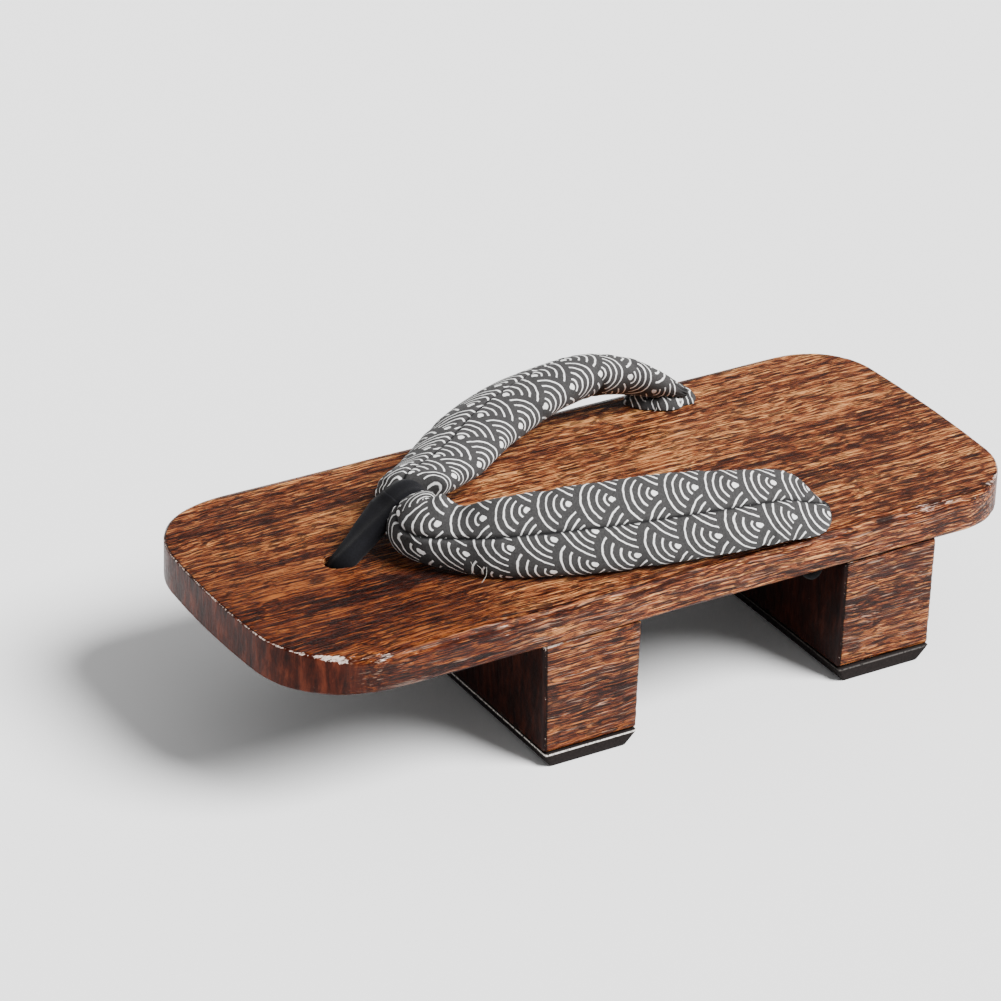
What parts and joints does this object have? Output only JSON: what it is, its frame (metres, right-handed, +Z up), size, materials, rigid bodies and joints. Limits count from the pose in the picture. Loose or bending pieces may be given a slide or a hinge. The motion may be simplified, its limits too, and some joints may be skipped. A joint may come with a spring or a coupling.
{
  "type": "geta sandal",
  "caption": "Wooden sandal: a flat deck on tall cross teeth with rubber treads, worn by a padded cloth strap and a toe thong.",
  "frame": {"origin": "on the floor, under the middle of the deck", "axes": "+Z up, toe towards -Y, heel towards +Y, +X to the wearer's left"},
  "size_m": [0.1135, 0.26, 0.0801],
  "materials": {
    "deck_wood": "stained and lacquered, satin",
    "tooth_wood": "stained and lacquered, satin",
    "tread_rubber": "matte",
    "strap_cloth": "printed cotton",
    "thong_cloth": "plain cotton"
  },
  "bodies": {
    "root": {"deck": "deck_wood", "tooth_front": "tooth_wood", "tooth_rear": "tooth_wood", "tread_front": "tread_rubber", "tread_rear": "tread_rubber", "strap": "strap_cloth", "thong": "thong_cloth"}
  },
  "joints": []
}
